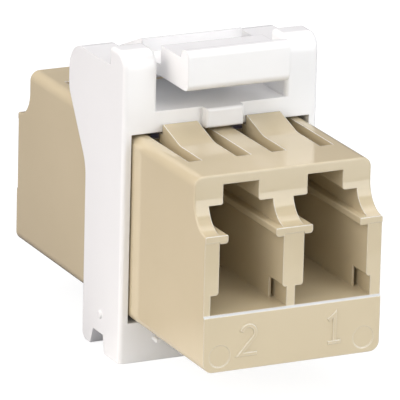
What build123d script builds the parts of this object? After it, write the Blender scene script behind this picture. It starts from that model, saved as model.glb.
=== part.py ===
from build123d import *
import os

os.makedirs("parts", exist_ok=True)

# Duplex fibre adapter in a snap-in panel carrier.
# Origin: centre of the panel cut-out, on the plane of the panel's front face.
# The ports face -Y, +Z is up and +X is to the right as seen from the front.

# Carrier
carrier_w = 14.6
carrier_h = 22.0
cheek_t = 0.62
ear_w = 2.48
ear_t = 2.25
hook_h = 1.3
lower_depth = 5.95
upper_depth = 8.9
panel_front_y = 0.0
carrier_front_y = panel_front_y - ear_t
lower_rear_y = carrier_front_y + lower_depth
upper_rear_y = carrier_front_y + upper_depth
ear_top_z = carrier_h / 2
carrier_bottom_z = -carrier_h / 2

# Panel cut-out that the carrier snaps into
cutout_h = carrier_h - 2 * hook_h
cutout_top_z = cutout_h / 2
cutout_bottom_z = -cutout_h / 2

# Outline of the cheeks
sweep_start_z = cutout_top_z - 8.1
sweep_end_z = cutout_top_z - 3.4
sweep_blend_r = 3.0
sweep_end_r = 1.5
shoulder_rear_r = 2.0
foot_rear_r = 0.6
ear_front_r = 1.15
ear_side_r = 0.3
ear_inner_r = 0.3

# Notch in the carrier's lower edge that hooks over the cut-out's lower edge
notch_front_y = 0.15
notch_lean = 0.25
notch_w = 1.85
notch_rear_lean = 0.42
foot_rise = 0.12

# Release window between the ears, and the crossbar under it
window_w = carrier_w - 2 * ear_w
window_h = 2.92
sill_z = cutout_top_z - window_h
crossbar_depth = 7.5
crossbar_rear_y = carrier_front_y + crossbar_depth

# Stop block on the front of the crossbar
stop_w = 2.8
stop_h = 1.4
stop_out = 0.7
stop_edge_r = 0.2

# Small pips on the carrier's cheeks
pip_r = 0.3
pip_out = 0.1
pip_round = 0.09
pip_y = 0.9
pip_z = cutout_bottom_z + 1.35

# Short ribs that stand out of the carrier's front face, under the adapter
rib_w = 0.32
rib_h = 0.3
rib_out = 0.8
rib_edge_r = 0.1
rib_x = 4.66
rib_z = carrier_bottom_z + 1.6

# Release latch, side profile
latch_gap = 1.02
latch_w = window_w - 2 * latch_gap
tab_out = 2.6
tab_front_y = carrier_front_y - tab_out
tab_bottom_z = ear_top_z - 2.3
lip_top_z = ear_top_z + 0.5
lip_t = 1.25
lip_slope = 0.15
lip_r = 0.42
tab_under_r = 0.5
groove_z = ear_top_z - 0.15
groove_back_y = panel_front_y - 0.55
arm_top_z = cutout_top_z - 0.2
barb_front_y = panel_front_y + 2.55
barb_h = 0.95
barb_top_z = arm_top_z + barb_h
barb_flat = 0.25
root_r = 1.2
root_clearance = 0.08
root_setback = 0.03
root_y = upper_rear_y - root_r - root_setback
root_z = sill_z + root_r - root_clearance
root_flat = 0.6
arm_under_rise = 0.25
arm_under_z = root_z + arm_under_rise

# Adapter body, two mirrored halves that meet at mid depth
crossbar_t = 1.47
opening_side_gap = 0.12
opening_top_gap = 0.19
opening_bottom_gap = 0.16
opening_w = carrier_w - 2 * cheek_t
opening_top_z = sill_z - crossbar_t
adapter_w = opening_w - 2 * opening_side_gap
adapter_h = 13.08
adapter_top_z = opening_top_z - opening_top_gap
adapter_bottom_z = adapter_top_z - adapter_h
opening_bottom_z = adapter_bottom_z - opening_bottom_gap
opening_h = opening_top_z - opening_bottom_z
adapter_half_l = 15.32
adapter_mid_y = 1.5
adapter_front_y = adapter_mid_y - adapter_half_l
adapter_corner_r = 0.7

# Front of the adapter: sill, wall fronts, ledge and the scooped upper face
sill_out = 0.13
ledge_z = adapter_top_z - 3.57
ledge_out = 0.06
ledge_h = 0.42
scoop_r = 1.95
upper_face_y = adapter_front_y + scoop_r
upper_edge_r = 0.12

# Shallow round marks on the sill
round_mark_r = 0.79
round_mark_x = 5.35
round_mark_z = adapter_bottom_z + 1.1
round_mark_depth = 0.05
round_mark_taper = 45

# Ports
outer_wall_t = 1.065
centre_wall_t = 1.51
port_w = (adapter_w - 2 * outer_wall_t - centre_wall_t) / 2
port_pitch = port_w + centre_wall_t
port_floor_z = adapter_bottom_z + 3.99
shoulder_z = adapter_top_z - 2.07
shoulder_r = 0.16
latch_slot_w = 2.64
latch_slot_top_z = adapter_top_z - 0.68
rail_t = 0.58
rail_out = 0.6
rail_under_r = 0.22
rail_upper_r = 0.08
rail_front_r = 0.22

# Floor notches at the port mouths. The right one in each port widens inwards
# and leads into a slit behind a thin skin
floor_notch_h = 1.37
floor_notch_l = 2.15
floor_notch_left = 0.58
floor_notch_right = 0.3
floor_notch_right_inner = 0.47
floor_skin_t = 0.15
floor_slit_l = 1.2
wall_foot_r = 0.22

# Snap fingers in the adapter's top wall
finger_w = 2.56
finger_gap = 0.05
finger_slot_l = 6.2
finger_slot_inner = 1.08
finger_slot_outer = 1.0
finger_slot_bottom_z = adapter_top_z - 1.3
finger_t = 0.95
finger_root_l = 0.5
finger_rise = 0.77
finger_ramp_l = 2.75
finger_foot_l = 1.0
finger_foot_r = 2.5
finger_tip_r = 0.12
finger_lip_l = 0.5

# Sleeve holders, one tube on each side of the middle web
web_t = 1.2
ferrule_rise = 2.27
ferrule_z = port_floor_z + ferrule_rise
holder_r = 1.35
holder_l = 3.9
holder_mouth_r = 0.7
holder_lead_in_angle = 32
sleeve_l = 6.8
sleeve_r = 0.8
sleeve_bore_r = 0.63
sleeve_slit = 0.25
sleeve_radial_gap = 0.06
sleeve_end_gap = 0.05
sleeve_pocket_l = sleeve_l / 2 + sleeve_end_gap

# Cutting lengths past a face, and the tolerance for picking edges
overshoot = 2.0
pick_tol = 0.01

# Carrier frame: one side profile across the full width, then the opening,
# the release window, the crossbar's rear face and the latch's seat are cut
with BuildPart() as carrier_frame:
    with BuildSketch(Plane.YZ) as carrier_side:
        with BuildLine():
            Polyline(
                (carrier_front_y, carrier_bottom_z),
                (notch_front_y, carrier_bottom_z),
                (notch_front_y + notch_lean, cutout_bottom_z),
                (notch_front_y + notch_w, cutout_bottom_z),
                (notch_front_y + notch_w + notch_rear_lean, carrier_bottom_z + foot_rise),
                (lower_rear_y, carrier_bottom_z + foot_rise),
                (lower_rear_y, sweep_start_z),
                (upper_rear_y, sweep_end_z),
                (upper_rear_y, cutout_top_z),
                (panel_front_y, cutout_top_z),
                (panel_front_y, ear_top_z),
                (carrier_front_y, ear_top_z),
                close=True,
            )
        make_face()
        for corner, corner_r in (
            ((lower_rear_y, carrier_bottom_z + foot_rise), foot_rear_r),
            ((lower_rear_y, sweep_start_z), sweep_blend_r),
            ((upper_rear_y, sweep_end_z), sweep_end_r),
            ((upper_rear_y, cutout_top_z), shoulder_rear_r),
            ((carrier_front_y, ear_top_z), ear_front_r),
        ):
            fillet(carrier_side.vertices().sort_by_distance(corner)[0], corner_r)
    extrude(amount=carrier_w / 2, both=True)
    # Opening for the adapter
    with BuildSketch(Plane.XZ):
        with Locations((0, opening_bottom_z)):
            Rectangle(opening_w, opening_h, align=(Align.CENTER, Align.MIN))
    extrude(amount=upper_depth + overshoot, both=True, mode=Mode.SUBTRACT)
    # Release window, open at the top
    window_cut_h = ear_top_z - sill_z + overshoot
    with BuildSketch(Plane.XZ):
        with Locations((0, sill_z)):
            Rectangle(window_w, window_cut_h, align=(Align.CENTER, Align.MIN))
    extrude(amount=upper_depth + overshoot, both=True, mode=Mode.SUBTRACT)
    # The crossbar stops short of the cheeks' rear edges
    with BuildSketch(Plane.XY.offset(sill_z)):
        with Locations((0, crossbar_rear_y)):
            Rectangle(opening_w, upper_depth, align=(Align.CENTER, Align.MIN))
    extrude(amount=-crossbar_t - opening_top_gap, mode=Mode.SUBTRACT)
    # Round seat for the root of the latch
    with BuildSketch(Plane.YZ):
        with Locations((root_y, root_z)):
            Circle(root_r + root_clearance)
    extrude(amount=window_w / 2, both=True, mode=Mode.SUBTRACT)
    # Soft corners on the ears and along the cheeks
    tops = carrier_frame.edges().filter_by(Axis.Y).filter_by(
        lambda e: abs(e.center().Z - ear_top_z) < pick_tol
    )
    fillet(tops.filter_by(lambda e: abs(e.center().X) > carrier_w / 2 - pick_tol), ear_side_r)
    inner_tops = carrier_frame.edges().filter_by(Axis.Y).filter_by(
        lambda e: abs(e.center().Z - ear_top_z) < pick_tol
    )
    fillet(inner_tops.filter_by(lambda e: abs(e.center().X) < window_w / 2 + pick_tol), ear_inner_r)
    # Stop block on the crossbar
    with BuildSketch(Plane.XZ.offset(-carrier_front_y - overshoot / 4)):
        with Locations((0, sill_z)):
            Rectangle(stop_w, stop_h, align=(Align.CENTER, Align.MAX))
    extrude(amount=stop_out + overshoot / 4)
    stop_front = carrier_frame.faces().filter_by(Axis.Y).sort_by(Axis.Y)[0]
    fillet(stop_front.edges(), stop_edge_r)
    # Raised pips
    with BuildSketch(Plane.YZ.offset(carrier_w / 2)):
        with Locations((pip_y, pip_z)):
            Circle(pip_r)
    extrude(amount=pip_out)
    with BuildSketch(Plane.YZ.offset(-carrier_w / 2)):
        with Locations((pip_y, pip_z)):
            Circle(pip_r)
    extrude(amount=-pip_out)
    pip_tops = carrier_frame.edges().filter_by(GeomType.CIRCLE).filter_by(
        lambda e: abs(abs(e.center().X) - carrier_w / 2 - pip_out) < pick_tol
    )
    fillet(pip_tops, pip_round)
    # Short ribs under the adapter
    with BuildSketch(Plane.XZ.offset(-carrier_front_y)):
        with Locations((0, rib_z)):
            with GridLocations(2 * rib_x, 0, 2, 1):
                RectangleRounded(rib_w, rib_h, rib_edge_r)
    extrude(amount=rib_out)
carrier_frame.part.label = "carrier_frame"
export_step(carrier_frame.part, "parts/carrier_frame.step")

# Release latch: press tab with a finger groove, arm, barb and rounded root
with BuildPart() as release_latch:
    with BuildSketch(Plane.YZ) as latch_side:
        with BuildLine():
            Polyline(
                (tab_front_y, tab_bottom_z),
                (tab_front_y, lip_top_z),
                (tab_front_y + lip_t - lip_slope, lip_top_z),
                (tab_front_y + lip_t, groove_z),
                (groove_back_y, groove_z),
                (groove_back_y, arm_top_z),
                (barb_front_y, arm_top_z),
                (barb_front_y, barb_top_z),
                (barb_front_y + barb_flat, barb_top_z),
                (root_y + root_flat, root_z + root_r),
                (root_y + root_flat, root_z),
                (root_y - root_flat, root_z),
                (root_y - root_r, arm_under_z),
                (groove_back_y, tab_bottom_z),
                close=True,
            )
        make_face()
        for corner, corner_r in (
            ((tab_front_y, tab_bottom_z), tab_under_r),
            ((tab_front_y, lip_top_z), lip_r),
            ((tab_front_y + lip_t - lip_slope, lip_top_z), lip_r),
        ):
            fillet(latch_side.vertices().sort_by_distance(corner)[0], corner_r)
        with Locations((root_y, root_z)):
            Circle(root_r)
    extrude(amount=latch_w / 2, both=True)
release_latch.part.label = "release_latch"
export_step(release_latch.part, "parts/release_latch.step")

# Front half of the adapter
with BuildPart() as front_housing:
    wall_front_y = adapter_front_y + sill_out
    ledge_front_y = wall_front_y - ledge_out
    with BuildSketch(Plane.YZ) as housing_side:
        with BuildLine():
            Polyline(
                (ledge_front_y, ledge_z),
                (ledge_front_y, ledge_z - ledge_h),
                (wall_front_y, ledge_z - ledge_h - ledge_out),
                (wall_front_y, port_floor_z),
                (adapter_front_y, port_floor_z - sill_out),
                (adapter_front_y, adapter_bottom_z),
                (adapter_mid_y, adapter_bottom_z),
                (adapter_mid_y, adapter_top_z),
                (upper_face_y, adapter_top_z),
                (upper_face_y, ledge_z + scoop_r),
            )
            RadiusArc(
                (upper_face_y, ledge_z + scoop_r),
                (ledge_front_y, ledge_z),
                scoop_r,
            )
        make_face()
    extrude(amount=adapter_w / 2, both=True)
    long_edges = front_housing.edges().filter_by(Axis.Y).filter_by(
        lambda e: abs(e.center().X) > adapter_w / 2 - pick_tol
    )
    fillet(long_edges, adapter_corner_r)
    top_front = front_housing.edges().filter_by(Axis.X).filter_by(
        lambda e: abs(e.center().Z - adapter_top_z) < pick_tol
    ).sort_by(Axis.Y)[0]
    fillet(top_front, upper_edge_r)
    # Ramped tops of the snap fingers
    finger_end_y = carrier_front_y - finger_gap
    ramp_foot_y = finger_end_y - finger_ramp_l
    for side in (-1, 1):
        finger_x = side * port_pitch / 2
        with BuildSketch(Plane.YZ.offset(finger_x - finger_w / 2)) as ramp:
            with BuildLine():
                Polyline(
                    (ramp_foot_y - finger_foot_l, adapter_top_z),
                    (ramp_foot_y, adapter_top_z),
                    (finger_end_y, adapter_top_z + finger_rise),
                    (finger_end_y, latch_slot_top_z),
                    (ramp_foot_y - finger_foot_l, latch_slot_top_z),
                    close=True,
                )
            make_face()
            for corner, corner_r in (
                ((ramp_foot_y, adapter_top_z), finger_foot_r),
                ((finger_end_y, adapter_top_z + finger_rise), finger_tip_r),
            ):
                fillet(ramp.vertices().sort_by_distance(corner)[0], corner_r)
        extrude(amount=finger_w)
    # Port cavities: plug body below, latch slot above, a rail on each side
    web_front_y = adapter_mid_y - web_t / 2
    cavity_l = web_front_y - adapter_front_y + overshoot
    with BuildSketch(Plane.XZ.offset(-web_front_y)) as cavity:
        with GridLocations(port_pitch, 0, 2, 1):
            with Locations((0, port_floor_z)):
                Rectangle(port_w, shoulder_z - port_floor_z, align=(Align.CENTER, Align.MIN))
                Rectangle(
                    latch_slot_w,
                    latch_slot_top_z - port_floor_z,
                    align=(Align.CENTER, Align.MIN),
                )
        shoulders = cavity.vertices().filter_by(
            lambda v: abs(v.Y - shoulder_z) < pick_tol
            and abs(abs(abs(v.X) - port_pitch / 2) - latch_slot_w / 2) < pick_tol
        )
        fillet(shoulders, shoulder_r)
    extrude(amount=cavity_l, mode=Mode.SUBTRACT)
    rail_l = web_front_y - ledge_front_y
    for side in (-1, 1):
        for flank in (-1, 1):
            rail_x = side * port_pitch / 2 + flank * (port_w - rail_out) / 2
            rail_tip_x = rail_x - flank * rail_out / 2
            with BuildSketch(Plane.XZ.offset(-web_front_y)) as rail:
                with Locations((rail_x, ledge_z)):
                    Rectangle(rail_out, rail_t, align=(Align.CENTER, Align.MAX))
                for corner, corner_r in (
                    ((rail_tip_x, ledge_z - rail_t), rail_under_r),
                    ((rail_tip_x, ledge_z), rail_upper_r),
                ):
                    fillet(rail.vertices().sort_by_distance(corner)[0], corner_r)
            extrude(amount=rail_l)
    # The rails' front ends are rounded on the underside
    for side in (-1, 1):
        with BuildSketch(Plane.YZ.offset(side * port_pitch / 2 - port_w / 2)):
            with Locations((ledge_front_y, ledge_z - rail_t)):
                Rectangle(rail_front_r, rail_front_r, align=(Align.MIN, Align.MIN))
            with Locations((ledge_front_y + rail_front_r, ledge_z - rail_t + rail_front_r)):
                Circle(rail_front_r, mode=Mode.SUBTRACT)
        extrude(amount=port_w, mode=Mode.SUBTRACT)
    # Floor notches at the mouths
    notch_front_end_y = adapter_front_y - overshoot
    notch_end_y = adapter_front_y + floor_notch_l
    for side in (-1, 1):
        port_left_x = side * port_pitch / 2 - port_w / 2
        port_right_x = side * port_pitch / 2 + port_w / 2
        with BuildSketch(Plane.XY.offset(port_floor_z)):
            with BuildLine():
                Polyline(
                    (port_left_x - floor_notch_left, notch_front_end_y),
                    (port_left_x - floor_notch_left, notch_end_y),
                    (port_right_x + floor_notch_right_inner, notch_end_y),
                    (port_right_x + floor_notch_right, adapter_front_y),
                    (port_right_x + floor_notch_right, notch_front_end_y),
                    close=True,
                )
            make_face()
        extrude(amount=floor_notch_h, mode=Mode.SUBTRACT)
    wall_feet = front_housing.edges().filter_by(Axis.Y).filter_by(
        lambda e: abs(e.center().Z - port_floor_z - floor_notch_h) < pick_tol
        and e.center().Y < notch_end_y
        and abs(abs(abs(e.center().X) - port_pitch / 2) - port_w / 2) < pick_tol
    )
    fillet(wall_feet, wall_foot_r)
    # Slits behind the right notches
    for side in (-1, 1):
        slit_x = side * port_pitch / 2 + port_w / 2 + floor_skin_t
        slit_w = floor_notch_right_inner - floor_skin_t
        with BuildSketch(Plane.XY.offset(port_floor_z)):
            with Locations((slit_x, notch_end_y)):
                Rectangle(slit_w, floor_slit_l, align=(Align.MIN, Align.MIN))
        extrude(amount=floor_notch_h, mode=Mode.SUBTRACT)
    # Shallow round marks on the sill
    with BuildSketch(Plane.XZ.offset(-adapter_front_y)):
        with Locations((0, round_mark_z)):
            with GridLocations(2 * round_mark_x, 0, 2, 1):
                Circle(round_mark_r)
    extrude(amount=-round_mark_depth, taper=round_mark_taper, mode=Mode.SUBTRACT)
    # Slots beside the fingers and the pocket behind their free ends
    slot_front_y = finger_end_y - finger_slot_l
    finger_lip_y = finger_end_y + finger_lip_l
    slot_l = adapter_mid_y - slot_front_y
    slot_h = adapter_top_z - finger_slot_bottom_z + overshoot
    for side in (-1, 1):
        inner_slot_x = side * (port_pitch / 2 - finger_w / 2)
        outer_slot_x = side * (port_pitch / 2 + finger_w / 2)
        inner_align = Align.MAX if side > 0 else Align.MIN
        outer_align = Align.MIN if side > 0 else Align.MAX
        with BuildSketch(Plane.XY.offset(finger_slot_bottom_z)):
            with Locations((inner_slot_x, slot_front_y)):
                Rectangle(finger_slot_inner, slot_l, align=(inner_align, Align.MIN))
            with Locations((outer_slot_x, slot_front_y)):
                Rectangle(finger_slot_outer, slot_l, align=(outer_align, Align.MIN))
        extrude(amount=slot_h, mode=Mode.SUBTRACT)
        with BuildSketch(Plane.XY.offset(finger_slot_bottom_z)):
            with Locations((side * port_pitch / 2, finger_lip_y)):
                Rectangle(
                    finger_w,
                    adapter_mid_y - finger_lip_y,
                    align=(Align.CENTER, Align.MIN),
                )
        extrude(amount=slot_h, mode=Mode.SUBTRACT)
    # The fingers are thicker than the top wall, whose underside they pass
    finger_l = finger_end_y - slot_front_y + finger_root_l
    with BuildSketch(Plane.XZ.offset(-finger_end_y)):
        with Locations((0, latch_slot_top_z)):
            with GridLocations(port_pitch, 0, 2, 1):
                Rectangle(
                    finger_w,
                    latch_slot_top_z - adapter_top_z + finger_t,
                    align=(Align.CENTER, Align.MAX),
                )
    extrude(amount=finger_l)
    # Sleeve holders: a tube, its pocket and a funnel at its mouth
    with BuildSketch(Plane.XZ.offset(-adapter_mid_y)):
        with Locations((0, ferrule_z)):
            with GridLocations(port_pitch, 0, 2, 1):
                Circle(holder_r)
    extrude(amount=holder_l)
    with BuildSketch(Plane.XZ.offset(-adapter_mid_y)):
        with Locations((0, ferrule_z)):
            with GridLocations(port_pitch, 0, 2, 1):
                Circle(sleeve_r + sleeve_radial_gap)
    extrude(amount=sleeve_pocket_l, mode=Mode.SUBTRACT)
    with BuildSketch(Plane.XZ.offset(sleeve_pocket_l - adapter_mid_y)):
        with Locations((0, ferrule_z)):
            with GridLocations(port_pitch, 0, 2, 1):
                Circle(holder_mouth_r)
    extrude(
        amount=holder_l - sleeve_pocket_l,
        taper=-holder_lead_in_angle,
        mode=Mode.SUBTRACT,
    )
front_housing.part.label = "front_housing"
export_step(front_housing.part, "parts/front_housing.step")

# Rear half of the adapter, the mirror image of the front half
with BuildPart() as rear_housing:
    add(mirror(front_housing.part, about=Plane.XZ.offset(-adapter_mid_y)))
rear_housing.part.label = "rear_housing"
export_step(rear_housing.part, "parts/rear_housing.step")

# Split alignment sleeves, one in each port pair
with BuildPart() as alignment_sleeve_left:
    with BuildSketch(Plane.XZ.offset(-adapter_mid_y)):
        with Locations((-port_pitch / 2, ferrule_z)):
            Circle(sleeve_r)
            Circle(sleeve_bore_r, mode=Mode.SUBTRACT)
            Rectangle(
                sleeve_slit,
                2 * sleeve_r,
                align=(Align.CENTER, Align.MIN),
                mode=Mode.SUBTRACT,
            )
    extrude(amount=sleeve_l / 2, both=True)
alignment_sleeve_left.part.label = "alignment_sleeve_left"
export_step(alignment_sleeve_left.part, "parts/alignment_sleeve_left.step")

with BuildPart() as alignment_sleeve_right:
    add(alignment_sleeve_left.part.moved(Location((port_pitch, 0, 0))))
alignment_sleeve_right.part.label = "alignment_sleeve_right"
export_step(alignment_sleeve_right.part, "parts/alignment_sleeve_right.step")
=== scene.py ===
import math

import bmesh
import bpy
from mathutils import Matrix, Vector


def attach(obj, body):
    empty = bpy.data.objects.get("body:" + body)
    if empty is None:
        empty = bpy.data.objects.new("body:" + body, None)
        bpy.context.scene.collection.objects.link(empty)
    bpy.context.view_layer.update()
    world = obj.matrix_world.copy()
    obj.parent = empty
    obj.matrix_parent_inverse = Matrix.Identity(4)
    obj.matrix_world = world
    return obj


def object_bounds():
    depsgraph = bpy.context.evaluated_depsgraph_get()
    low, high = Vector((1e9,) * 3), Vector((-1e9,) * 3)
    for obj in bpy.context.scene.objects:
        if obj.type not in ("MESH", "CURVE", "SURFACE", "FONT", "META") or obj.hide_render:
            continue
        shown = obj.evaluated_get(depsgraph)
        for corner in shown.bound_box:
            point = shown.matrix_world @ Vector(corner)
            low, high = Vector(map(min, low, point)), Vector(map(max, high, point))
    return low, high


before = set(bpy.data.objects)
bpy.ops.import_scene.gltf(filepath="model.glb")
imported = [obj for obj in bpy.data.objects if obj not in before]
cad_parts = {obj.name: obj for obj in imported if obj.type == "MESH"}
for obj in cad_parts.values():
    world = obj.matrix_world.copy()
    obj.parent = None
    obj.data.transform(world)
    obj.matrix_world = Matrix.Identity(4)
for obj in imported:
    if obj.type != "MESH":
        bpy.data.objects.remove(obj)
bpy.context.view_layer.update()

scene = bpy.context.scene
MM = 0.001

# Camera, measured from the photograph: in front, to the left and a little above
CAM_AZIMUTH = math.radians(26.06)
CAM_ELEVATION = math.radians(17.77)
CAM_ROLL = math.radians(1.448)
CAM_DISTANCE = 376.3 * MM
CAM_LENS = 497.2
CAM_SENSOR = 36.0
CAM_SIDE = -1.302 * MM
CAM_RISE = -0.613 * MM
CAM_AIM = Vector((0.0, -2.25, 0.6)) * MM
CAM_NEAR = 0.01
CAM_FAR = 10.0

# Raised numerals on the adapter's front sill
SILL_Y = -13.82 * MM
MARK_X_LEFT = -3.27 * MM
MARK_X_RIGHT = 3.14 * MM
MARK_Z = -7.1 * MM
MARK_H = 2.35 * MM
MARK_OUT = 0.09 * MM
MARK_NEXT_LOWER = 0.005 * MM
MARK_STROKE = 0.36 * MM
MARK_SLOPE = 0.07 * MM
MARK_BED = 0.03 * MM
MITER_LIMIT = 0.3
BOWL_R = 0.52 * MM
FOOT_HALF = 0.62 * MM
FLAG_HALF = 0.46 * MM
FLAG_DROP = 0.8

# Painted highlight along the sloped lip at the top of the sill, the same at both ends of the adapter
ADAPTER_MID_Y = 1.5 * MM
LIP_REACH = 15.18 * MM
LIP_Z = -4.035 * MM
LIP_HALF = 0.05 * MM
LIP_FADE = 0.02 * MM
LIP_HIGHLIGHT_COLOUR = (0.7, 0.715, 0.725, 1.0)

# Moulded plastic
PLASTIC_IOR = 1.52
DRIFT_SCALE = 160.0
PATCH_SCALE = 420.0
GRAIN_SCALE = 9000.0
GRAIN_DEPTH = 0.02 * MM
GRAIN_STRENGTH = 0.02
NOISE_LOW = 0.3
NOISE_HIGH = 0.7
EDGE_SAMPLES = 6

# Painted edge highlight: from where to where each of its three conditions comes in
EDGE_HIGHLIGHT_COLOUR = (0.97, 0.97, 0.97, 1.0)
RIM_TURNED = (0.99, 0.92)
RIM_OPEN = (0.7, 0.9)
RIM_OPEN_REACH = 0.25 * MM
RIM_UPWARD = (0.1, 0.4)
RIM_SIDE_SHARE = 0.35

# Drawn bronze
DRAWN_STRETCH = (1.0, 0.08, 1.0)
DRAWN_DEPTH = 0.005 * MM
DRAWN_STRENGTH = 0.2
BRONZE_DEEP = (0.55, 0.33, 0.16, 1.0)
BRONZE_LIGHT = (0.72, 0.46, 0.24, 1.0)
BRONZE_ROUGH = (0.25, 0.42)

# Floor: pale in front of the object and dark behind it, where the photograph's backdrop is dark
FLOOR_HALF = 0.6
FLOOR_FRONT = -40.0 * MM
PAPER_FADE = (-3.0 * MM, 5.0 * MM)
PAPER_FRONT = (0.8, 0.8, 0.8, 1.0)
PAPER_REAR = (0.12, 0.12, 0.16, 1.0)
PAPER_GLOW = 0.9
PAPER_VEIL = (0.2, 0.2, 0.2, 1.0)

# World: black in front and a dark blue backdrop behind, plain white to the camera
SKY_FADE = (-0.1, 0.25)
BLACK = (0.0, 0.0, 0.0, 1.0)
NAVY = (0.02, 0.03, 0.09, 1.0)
PLAIN_WHITE = (1.0, 1.0, 1.0, 1.0)

# Soft boxes: name, azimuth, elevation, width, height, power, colour.
# Azimuth 0 is straight in front of the adapter and positive to the right; angles are in degrees.
LIGHT_DISTANCE = 0.5
COOL = (0.965, 0.985, 1.0)
WARM = (1.0, 0.95, 0.89)
NEUTRAL = (1.0, 1.0, 1.0)
SOFT_BOXES = (
    ("front_strip", 28, 10.2, 0.2, 0.505, 1.16, COOL),
    ("right", 63, 18, 0.45, 0.34, 0.57, COOL),
    ("front_left", -38, 12, 0.3, 0.3, 0.22, COOL),
    ("front_high", -8, 45, 0.3, 0.3, 0.42, NEUTRAL),
    ("left_low", -70, 15, 0.34, 0.34, 0.53, WARM),
    ("left_high", -70, 40, 0.34, 0.34, 0.79, WARM),
    ("left_rear", -117, 27, 0.42, 0.45, 1.46, WARM),
    ("rear_high", 150, 50, 0.34, 0.34, 0.62, WARM),
    ("right_top", 100, 62, 0.2, 0.16, 0.18, NEUTRAL),
    ("top", 25, 70, 0.36, 0.36, 0.09, NEUTRAL),
    ("zenith", 0, 82, 0.3, 0.3, 0.58, WARM),
)


# Small node helpers

def empty_tree(owner, output_type):
    """The node tree of a material or a world with only its output in it, and the surface input."""
    owner.use_nodes = True
    tree = owner.node_tree
    tree.nodes.clear()
    return tree, tree.nodes.new(output_type).inputs["Surface"]


def new_material(name):
    mat = bpy.data.materials.new(name)
    tree, surface = empty_tree(mat, "ShaderNodeOutputMaterial")
    bsdf = tree.nodes.new("ShaderNodeBsdfPrincipled")
    tree.links.new(bsdf.outputs["BSDF"], surface)
    return mat, tree, bsdf


def connect(tree, source, socket):
    """Link an output to the socket, or write a plain value on it."""
    if isinstance(source, bpy.types.NodeSocket):
        tree.links.new(source, socket)
    else:
        socket.default_value = source


def noise(tree, coords, scale, detail=2.0, rough=0.5):
    node = tree.nodes.new("ShaderNodeTexNoise")
    node.inputs["Scale"].default_value = scale
    node.inputs["Detail"].default_value = detail
    node.inputs["Roughness"].default_value = rough
    tree.links.new(coords, node.inputs["Vector"])
    return node.outputs["Fac"]


def ramp(tree, value, low, high, to_low, to_high):
    node = tree.nodes.new("ShaderNodeMapRange")
    node.inputs["From Min"].default_value = low
    node.inputs["From Max"].default_value = high
    node.inputs["To Min"].default_value = to_low
    node.inputs["To Max"].default_value = to_high
    tree.links.new(value, node.inputs["Value"])
    return node.outputs["Result"]


def mix(tree, fac, a, b):
    node = tree.nodes.new("ShaderNodeMix")
    node.data_type = "RGBA"
    connect(tree, a, node.inputs["A"])
    connect(tree, b, node.inputs["B"])
    tree.links.new(fac, node.inputs["Factor"])
    return node.outputs["Result"]


def separate(tree, vector, axis):
    node = tree.nodes.new("ShaderNodeSeparateXYZ")
    tree.links.new(vector, node.inputs["Vector"])
    return node.outputs[axis]


def maths(tree, operation, *values):
    node = tree.nodes.new("ShaderNodeMath")
    node.operation = operation
    for value, socket in zip(values, node.inputs):
        connect(tree, value, socket)
    return node.outputs["Value"]


def distance_from(tree, value, centre):
    return maths(tree, "ABSOLUTE", maths(tree, "SUBTRACT", value, centre))


def bumped(tree, height, strength, depth):
    node = tree.nodes.new("ShaderNodeBump")
    node.inputs["Strength"].default_value = strength
    node.inputs["Distance"].default_value = depth
    tree.links.new(height, node.inputs["Height"])
    return node


def front_to_back(tree, vector, fade, front, back):
    """Front colour before the object, back colour behind it, along +Y of the given vector."""
    return mix(tree, ramp(tree, separate(tree, vector, "Y"), *fade, 0.0, 1.0), front, back)


def white_to_camera(tree, usual, seen, surface):
    """The camera sees the second shader, and every other ray the usual one."""
    path = tree.nodes.new("ShaderNodeLightPath")
    blend = tree.nodes.new("ShaderNodeMixShader")
    tree.links.new(path.outputs["Is Camera Ray"], blend.inputs["Fac"])
    tree.links.new(usual, blend.inputs[1])
    tree.links.new(seen, blend.inputs[2])
    tree.links.new(blend.outputs["Shader"], surface)


# Materials of the part

def painted_edge_highlight(tree, colour, rounded):
    """Painted highlight on outer edges: paler where the rounded normal leaves the flat one, the spot lies open
    and faces up.
    """
    dot = tree.nodes.new("ShaderNodeVectorMath")
    dot.operation = "DOT_PRODUCT"
    tree.links.new(tree.nodes.new("ShaderNodeNewGeometry").outputs["Normal"], dot.inputs[0])
    tree.links.new(rounded, dot.inputs[1])
    turned = ramp(tree, dot.outputs["Value"], *RIM_TURNED, 0.0, 1.0)
    open_air = tree.nodes.new("ShaderNodeAmbientOcclusion")
    open_air.samples = EDGE_SAMPLES
    open_air.inputs["Distance"].default_value = RIM_OPEN_REACH
    outer = ramp(tree, open_air.outputs["AO"], *RIM_OPEN, 0.0, 1.0)
    upward = ramp(tree, separate(tree, rounded, "Z"), *RIM_UPWARD, RIM_SIDE_SHARE, 1.0)
    amount = maths(tree, "MULTIPLY", maths(tree, "MULTIPLY", turned, outer), upward)
    return mix(tree, amount, colour, EDGE_HIGHLIGHT_COLOUR)


def painted_lip_highlight(tree, colour, coords):
    """The sill's lip, where the two sides of the mould part, gets a painted highlight: a whitish line in the
    base colour.
    """
    from_middle = distance_from(tree, separate(tree, coords, "Y"), ADAPTER_MID_Y)
    at_end = ramp(tree, from_middle, LIP_REACH, LIP_REACH + LIP_FADE, 0.0, 1.0)
    from_lip = distance_from(tree, separate(tree, coords, "Z"), LIP_Z)
    on_lip = ramp(tree, from_lip, LIP_HALF, LIP_HALF + LIP_FADE, 1.0, 0.0)
    return mix(tree, maths(tree, "MULTIPLY", at_end, on_lip), colour, LIP_HIGHLIGHT_COLOUR)


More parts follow.
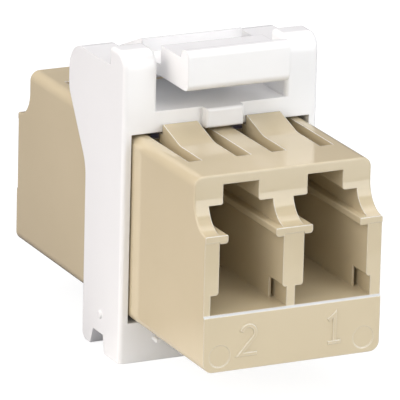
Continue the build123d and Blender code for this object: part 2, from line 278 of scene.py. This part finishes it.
def moulded_plastic(name, light, deep, rough, edge, painted_highlights):
    """Satin moulded plastic: slow colour drift, fine spark-eroded grain and softly rounded edges."""
    mat, tree, bsdf = new_material(name)
    coords = tree.nodes.new("ShaderNodeTexCoord").outputs["Object"]
    drift = noise(tree, coords, DRIFT_SCALE, 3.0)
    colour = mix(tree, ramp(tree, drift, NOISE_LOW, NOISE_HIGH, 0.0, 1.0), light, deep)
    patch = noise(tree, coords, PATCH_SCALE)
    tree.links.new(ramp(tree, patch, NOISE_LOW, NOISE_HIGH, *rough), bsdf.inputs["Roughness"])
    grain = bumped(tree, noise(tree, coords, GRAIN_SCALE, 4.0, 0.6), GRAIN_STRENGTH, GRAIN_DEPTH)
    soft_edge = tree.nodes.new("ShaderNodeBevel")
    soft_edge.samples = EDGE_SAMPLES
    soft_edge.inputs["Radius"].default_value = edge
    tree.links.new(soft_edge.outputs["Normal"], grain.inputs["Normal"])
    tree.links.new(grain.outputs["Normal"], bsdf.inputs["Normal"])
    bsdf.inputs["IOR"].default_value = PLASTIC_IOR
    # Painted highlights: paler outer edges and a whitish line along the sill's lip
    if painted_highlights:
        colour = painted_edge_highlight(tree, colour, soft_edge.outputs["Normal"])
        colour = painted_lip_highlight(tree, colour, coords)
    tree.links.new(colour, bsdf.inputs["Base Color"])
    return mat


def drawn_bronze(name):
    """Bronze with fine lines along the tube, left by drawing."""
    mat, tree, bsdf = new_material(name)
    coords = tree.nodes.new("ShaderNodeTexCoord").outputs["Object"]
    stretch = tree.nodes.new("ShaderNodeMapping")
    stretch.inputs["Scale"].default_value = DRAWN_STRETCH
    tree.links.new(coords, stretch.inputs["Vector"])
    lines = noise(tree, stretch.outputs["Vector"], GRAIN_SCALE, 3.0)
    tree.links.new(mix(tree, lines, BRONZE_DEEP, BRONZE_LIGHT), bsdf.inputs["Base Color"])
    tree.links.new(ramp(tree, lines, NOISE_LOW, NOISE_HIGH, *BRONZE_ROUGH), bsdf.inputs["Roughness"])
    bsdf.inputs["Metallic"].default_value = 1.0
    grooves = bumped(tree, lines, DRAWN_STRENGTH, DRAWN_DEPTH)
    tree.links.new(grooves.outputs["Normal"], bsdf.inputs["Normal"])
    return mat


white = moulded_plastic(
    "carrier_white_moulded",
    light=(0.93, 0.932, 0.945, 1.0),
    deep=(0.915, 0.917, 0.93, 1.0),
    rough=(0.2, 0.27),
    edge=0.08 * MM,
    painted_highlights=False,
)
beige = moulded_plastic(
    "adapter_beige_moulded",
    light=(0.642, 0.549, 0.384, 1.0),
    deep=(0.618, 0.528, 0.364, 1.0),
    rough=(0.08, 0.12),
    edge=0.1 * MM,
    painted_highlights=True,
)
bronze = drawn_bronze("sleeve_bronze_drawn")

for node_name, mat in (
    ("carrier_frame", white),
    ("release_latch", white),
    ("front_housing", beige),
    ("rear_housing", beige),
    ("alignment_sleeve_left", bronze),
    ("alignment_sleeve_right", bronze),
):
    for slot in bpy.data.objects[node_name].material_slots:
        slot.material = mat


# Raised numerals

def stroke(bm, points, rise):
    """A raised stroke with sloped sides and ends along a line of (x, z) points, its bed sunk into the sill."""
    half = MARK_STROKE / 2
    profile = ((-half, MARK_BED), (-half + MARK_SLOPE, -rise), (half - MARK_SLOPE, -rise), (half, MARK_BED))
    path = [Vector(point) for point in points]
    last = len(path) - 1
    rows = []
    for i, point in enumerate(path):
        ahead = (path[min(i + 1, last)] - path[min(i, last - 1)]).normalized()
        behind = (path[max(i, 1)] - path[max(i - 1, 0)]).normalized()
        normal = Vector((-(ahead + behind).y, (ahead + behind).x)).normalized()
        miter = 1.0 / max(normal.dot(Vector((-ahead.y, ahead.x))), MITER_LIMIT)
        end = (i == last) - (i == 0)
        row = []
        for k, (across, depth) in enumerate(profile):
            reach = end * (MARK_SLOPE if k in (0, 3) else 0.0)
            spot = point + normal * across * miter + ahead * reach
            row.append(bm.verts.new((spot.x, depth, spot.y)))
        rows.append(row)
    for first, second in zip(rows, rows[1:]):
        for k in range(4):
            bm.faces.new((first[k], first[(k + 1) % 4], second[(k + 1) % 4], second[k]))
    bm.faces.new(rows[0])
    bm.faces.new(reversed(rows[-1]))


def arc(cx, cz, radius, start, stop, steps):
    """Points (x, z) along an arc, from one angle in degrees to the other."""
    angles = [math.radians(start + (stop - start) * i / steps) for i in range(steps + 1)]
    return [(cx + radius * math.cos(angle), cz + radius * math.sin(angle)) for angle in angles]


def raised_mark(name, strokes, x):
    """A raised numeral on the sill. Each further stroke is a little lower, so no two tops coincide."""
    bm = bmesh.new()
    for i, points in enumerate(strokes):
        stroke(bm, points, MARK_OUT - i * MARK_NEXT_LOWER)
    bmesh.ops.recalc_face_normals(bm, faces=bm.faces)
    mesh = bpy.data.meshes.new(name)
    bm.to_mesh(mesh)
    bm.free()
    mesh.transform(Matrix.Translation((x, SILL_Y, MARK_Z)))
    mesh.materials.append(beige)
    piece = bpy.data.objects.new(name, mesh)
    scene.collection.objects.link(piece)
    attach(piece, "carrier")


low = MARK_STROKE / 2
high = MARK_H - MARK_STROKE / 2
two = arc(0.0, high - BOWL_R, BOWL_R, start=165, stop=-35, steps=16) + [(-FOOT_HALF, low), (FOOT_HALF, low)]
one = [(-FLAG_HALF, high - FLAG_HALF * FLAG_DROP), (0.0, high), (0.0, low)]
one_foot = [(-FLAG_HALF, low), (FLAG_HALF, low)]
raised_mark("port_mark_left", [two], MARK_X_LEFT)
raised_mark("port_mark_right", [one, one_foot], MARK_X_RIGHT)


# Floor, world, lights and camera

def paper():
    """Pale paper, white to the camera, with the object's soft shadow left on it."""
    mat = bpy.data.materials.new("paper")
    tree, surface = empty_tree(mat, "ShaderNodeOutputMaterial")
    diffuse = tree.nodes.new("ShaderNodeBsdfDiffuse")
    spot = tree.nodes.new("ShaderNodeNewGeometry").outputs["Position"]
    shade = front_to_back(tree, spot, PAPER_FADE, PAPER_FRONT, PAPER_REAR)
    tree.links.new(shade, diffuse.inputs["Color"])
    glow = tree.nodes.new("ShaderNodeEmission")
    glow.inputs["Color"].default_value = PLAIN_WHITE
    glow.inputs["Strength"].default_value = PAPER_GLOW
    veil = tree.nodes.new("ShaderNodeBsdfDiffuse")
    veil.inputs["Color"].default_value = PAPER_VEIL
    white_paper = tree.nodes.new("ShaderNodeAddShader")
    tree.links.new(glow.outputs["Emission"], white_paper.inputs[0])
    tree.links.new(veil.outputs["BSDF"], white_paper.inputs[1])
    white_to_camera(tree, diffuse.outputs["BSDF"], white_paper.outputs["Shader"], surface)
    return mat


def lay_floor():
    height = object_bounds()[0][2]
    corners = (
        (-FLOOR_HALF, FLOOR_FRONT),
        (FLOOR_HALF, FLOOR_FRONT),
        (FLOOR_HALF, FLOOR_HALF),
        (-FLOOR_HALF, FLOOR_HALF),
    )
    mesh = bpy.data.meshes.new("floor")
    mesh.from_pydata([(x, y, height) for x, y in corners], [], [(0, 1, 2, 3)])
    mesh.materials.append(paper())
    floor = bpy.data.objects.new("floor", mesh)
    scene.collection.objects.link(floor)


def studio_world():
    world = bpy.data.worlds.new("studio")
    scene.world = world
    tree, surface = empty_tree(world, "ShaderNodeOutputWorld")
    backdrop = tree.nodes.new("ShaderNodeBackground")
    heading = tree.nodes.new("ShaderNodeTexCoord").outputs["Generated"]
    tree.links.new(front_to_back(tree, heading, SKY_FADE, BLACK, NAVY), backdrop.inputs["Color"])
    plain = tree.nodes.new("ShaderNodeBackground")
    plain.inputs["Color"].default_value = PLAIN_WHITE
    for background in (backdrop, plain):
        background.inputs["Strength"].default_value = 1.0
    white_to_camera(tree, backdrop.outputs["Background"], plain.outputs["Background"], surface)


def soft_box(name, azimuth, elevation, wide, tall, power, colour):
    """An area light aimed at the object."""
    lamp = bpy.data.lights.new(name, "AREA")
    lamp.shape = "RECTANGLE"
    lamp.size = wide
    lamp.size_y = tall
    lamp.energy = power
    lamp.color = colour
    az = math.radians(azimuth)
    el = math.radians(elevation)
    away = Vector((math.sin(az) * math.cos(el), -math.cos(az) * math.cos(el), math.sin(el)))
    obj = bpy.data.objects.new(name, lamp)
    obj.location = away * LIGHT_DISTANCE
    obj.rotation_euler = away.to_track_quat("Z", "Y").to_euler()
    scene.collection.objects.link(obj)


def photo_camera():
    az, el, roll = CAM_AZIMUTH, CAM_ELEVATION, CAM_ROLL
    away = Vector((-math.sin(az) * math.cos(el), -math.cos(az) * math.cos(el), math.sin(el)))
    flat_right = Vector((math.cos(az), -math.sin(az), 0.0))
    flat_up = Vector((math.sin(az) * math.sin(el), math.cos(az) * math.sin(el), math.cos(el)))
    right = math.cos(roll) * flat_right + math.sin(roll) * flat_up
    up = -math.sin(roll) * flat_right + math.cos(roll) * flat_up
    place = CAM_AIM + CAM_SIDE * right + CAM_RISE * up + CAM_DISTANCE * away
    data = bpy.data.cameras.new("photo_camera")
    data.sensor_width = CAM_SENSOR
    data.lens = CAM_LENS
    data.clip_start = CAM_NEAR
    data.clip_end = CAM_FAR
    camera = bpy.data.objects.new("photo_camera", data)
    camera.matrix_world = Matrix(
        (
            (right.x, up.x, away.x, place.x),
            (right.y, up.y, away.y, place.y),
            (right.z, up.z, away.z, place.z),
            (0.0, 0.0, 0.0, 1.0),
        )
    )
    scene.collection.objects.link(camera)
    return camera


lay_floor()
studio_world()
for box in SOFT_BOXES:
    soft_box(*box)
bpy.context.scene.camera = photo_camera()

scene.view_settings.view_transform = "Standard"
